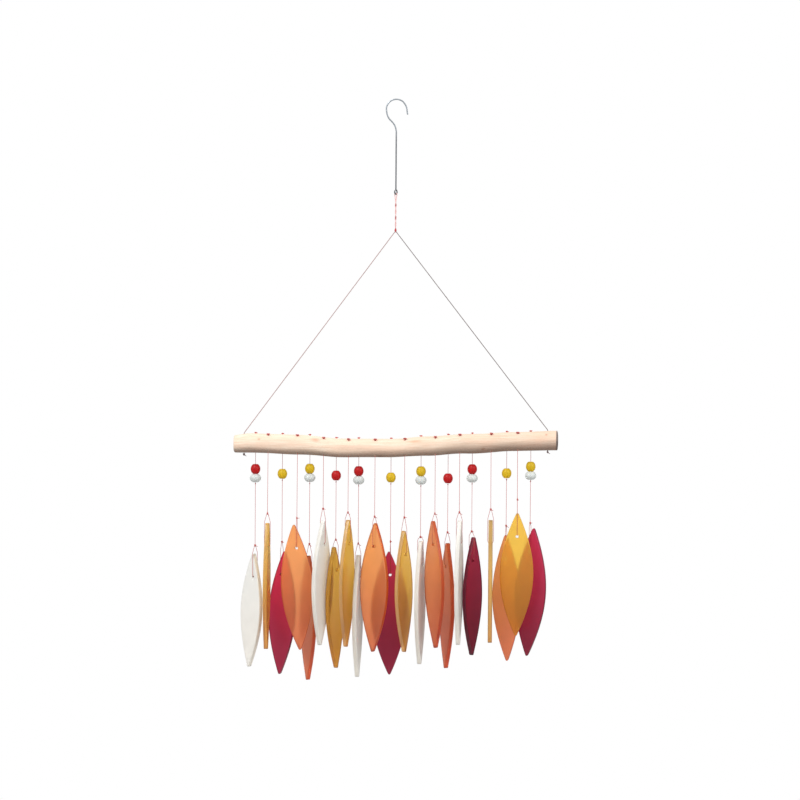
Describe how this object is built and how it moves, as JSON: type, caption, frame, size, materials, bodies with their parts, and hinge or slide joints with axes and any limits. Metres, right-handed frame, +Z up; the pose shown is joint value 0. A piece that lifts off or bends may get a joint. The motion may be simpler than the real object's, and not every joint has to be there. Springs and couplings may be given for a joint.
{
  "type": "glass wind chime",
  "caption": "Wind chime of frosted glass leaves and beads on red threads, hung under a driftwood branch from a cord and a wire hook.",
  "frame": {"origin": "inside top of the wire hook's curl, where it hangs on a peg or nail", "axes": "+X along the branch to the viewer's right, +Y away from the viewer, +Z up"},
  "size_m": [0.3237, 0.0515, 0.5832],
  "materials": {
    "hook_wire": "satin",
    "sling_cord": "matte",
    "driftwood": "matte",
    "red_thread": "matte",
    "white_glass": "frosted",
    "yellow_glass": "frosted",
    "orange_glass": "frosted",
    "red_glass": "frosted",
    "red_bead": "frosted",
    "yellow_bead": "frosted",
    "clear_bead": "frosted"
  },
  "bodies": {
    "root": {"wire_hook": "hook_wire", "suspension_cord": "sling_cord", "driftwood_branch": "driftwood", "glass_leaf_01": "white_glass", "leaf_thread_01": "red_thread", "bead_pair_01": "red_bead", "glass_leaf_02": "yellow_glass", "leaf_thread_02": "red_thread", "glass_leaf_03": "red_glass", "leaf_thread_03": "red_thread", "bead_03": "yellow_bead", "glass_leaf_04": "orange_glass", "leaf_thread_04": "red_thread", "glass_leaf_05": "orange_glass", "leaf_thread_05": "red_thread", "bead_pair_05": "yellow_bead", "glass_leaf_06": "white_glass", "leaf_thread_06": "red_thread", "glass_leaf_07": "yellow_glass", "leaf_thread_07": "red_thread", "bead_07": "red_bead", "glass_leaf_08": "yellow_glass", "leaf_thread_08": "red_thread", "glass_leaf_09": "white_glass", "leaf_thread_09": "red_thread", "bead_pair_09": "red_bead", "glass_leaf_10": "orange_glass", "leaf_thread_10": "red_thread", "glass_leaf_11": "red_glass", "leaf_thread_11": "red_thread", "bead_11": "yellow_bead", "glass_leaf_12": "yellow_glass", "leaf_thread_12": "red_thread", "glass_leaf_13": "white_glass", "leaf_thread_13": "red_thread", "bead_pair_13": "yellow_bead", "glass_leaf_14": "orange_glass", "leaf_thread_14": "red_thread", "glass_leaf_15": "orange_glass", "leaf_thread_15": "red_thread", "bead_15": "red_bead", "glass_leaf_16": "white_glass", "leaf_thread_16": "red_thread", "glass_leaf_17": "red_glass", "leaf_thread_17": "red_thread", "bead_pair_17": "red_bead", "glass_leaf_18": "yellow_glass", "leaf_thread_18": "red_thread", "glass_leaf_19": "orange_glass", "leaf_thread_19": "red_thread", "bead_19": "yellow_bead", "glass_leaf_20": "yellow_glass", "leaf_thread_20": "red_thread", "glass_leaf_21": "red_glass", "leaf_thread_21": "red_thread", "bead_pair_21": "yellow_bead"}
  },
  "joints": []
}
